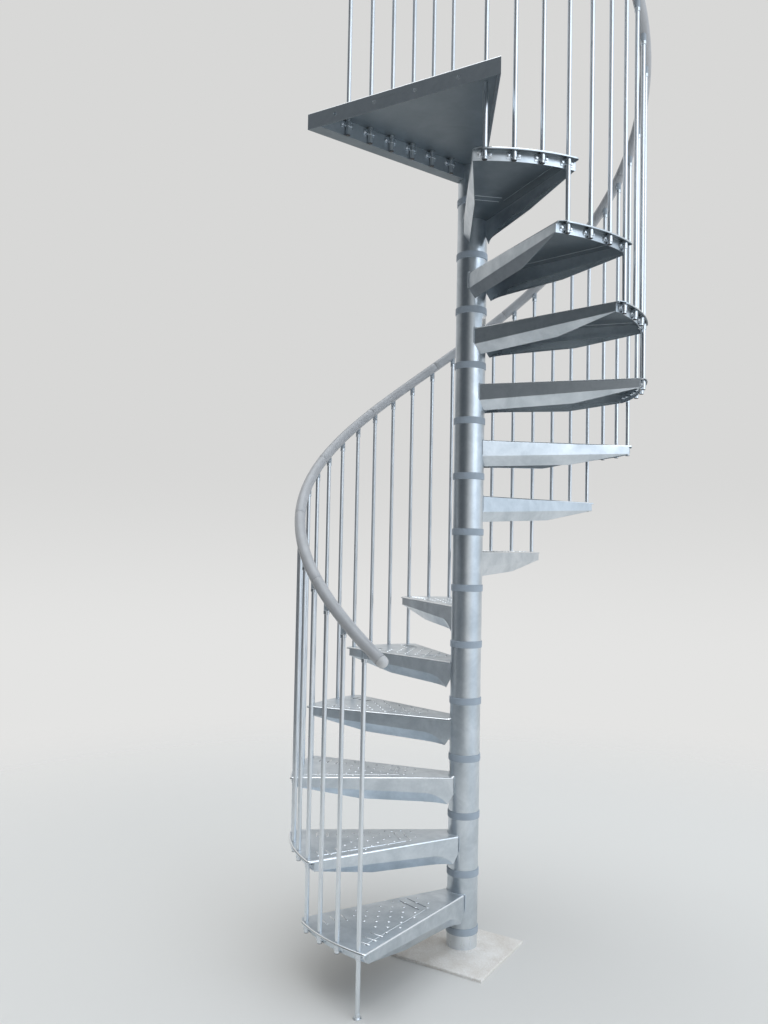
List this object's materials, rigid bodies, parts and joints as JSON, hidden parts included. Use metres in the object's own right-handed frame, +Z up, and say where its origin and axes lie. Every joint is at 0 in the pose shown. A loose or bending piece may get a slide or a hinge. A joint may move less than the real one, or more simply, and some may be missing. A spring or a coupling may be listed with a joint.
{
  "type": "spiral staircase",
  "caption": "Spiral staircase of galvanised steel wedge treads stacked on a central column, with a rod balustrade, a tubular plastic handrail and a wedge-shaped landing.",
  "frame": {"origin": "on the column's axis at ground level, on the underside of the base slab", "axes": "+Z up along the column, -Y the way the landing's drilled front faces, +X to the left of someone stepping off the landing's front"},
  "size_m": [1.3704, 1.3852, 4.1599],
  "materials": {
    "galvanised_sheet": "satin",
    "galvanised_tube": "satin",
    "zinc_plated_clamp": "semi-gloss",
    "threaded_rod": "satin",
    "ring_plastic": "matte",
    "black_plastic": "matte",
    "connector_plastic": "matte",
    "rail_plastic": "semi-gloss",
    "slab_ceramic": "matte"
  },
  "bodies": {
    "root": {"baluster_clamps_1": "zinc_plated_clamp", "baluster_clamps_2": "zinc_plated_clamp", "baluster_clamps_3": "zinc_plated_clamp", "baluster_end_caps": "black_plastic", "balusters_1": "galvanised_tube", "balusters_2": "galvanised_tube", "balusters_3": "galvanised_tube", "balusters_4": "galvanised_tube", "balusters_5": "galvanised_tube", "base_slab": "slab_ceramic", "column_cap": "black_plastic", "column_foot": "galvanised_tube", "ground_foot": "black_plastic", "handrail_01": "rail_plastic", "handrail_02": "rail_plastic", "handrail_03": "rail_plastic", "handrail_04": "rail_plastic", "handrail_05": "rail_plastic", "handrail_06": "rail_plastic", "handrail_07": "rail_plastic", "handrail_08": "rail_plastic", "handrail_09": "rail_plastic", "handrail_10": "rail_plastic", "handrail_11": "rail_plastic", "handrail_12": "rail_plastic", "handrail_ends": "rail_plastic", "landing": "galvanised_sheet", "landing_balusters": "galvanised_tube", "landing_clamps": "zinc_plated_clamp", "landing_connectors": "connector_plastic", "landing_end_caps": "black_plastic", "landing_handrail": "rail_plastic", "landing_rail_ends": "rail_plastic", "rail_connectors_1": "connector_plastic", "rail_connectors_2": "connector_plastic", "rail_connectors_3": "connector_plastic", "rail_connectors_4": "connector_plastic", "rail_connectors_5": "connector_plastic", "spacer_rings": "ring_plastic", "tie_rod": "threaded_rod", "tread_01": "galvanised_sheet", "tread_02": "galvanised_sheet", "tread_03": "galvanised_sheet", "tread_04": "galvanised_sheet", "tread_05": "galvanised_sheet", "tread_06": "galvanised_sheet", "tread_07": "galvanised_sheet", "tread_08": "galvanised_sheet", "tread_09": "galvanised_sheet", "tread_10": "galvanised_sheet", "tread_11": "galvanised_sheet", "tread_12": "galvanised_sheet", "tread_13": "galvanised_sheet"}
  },
  "joints": []
}
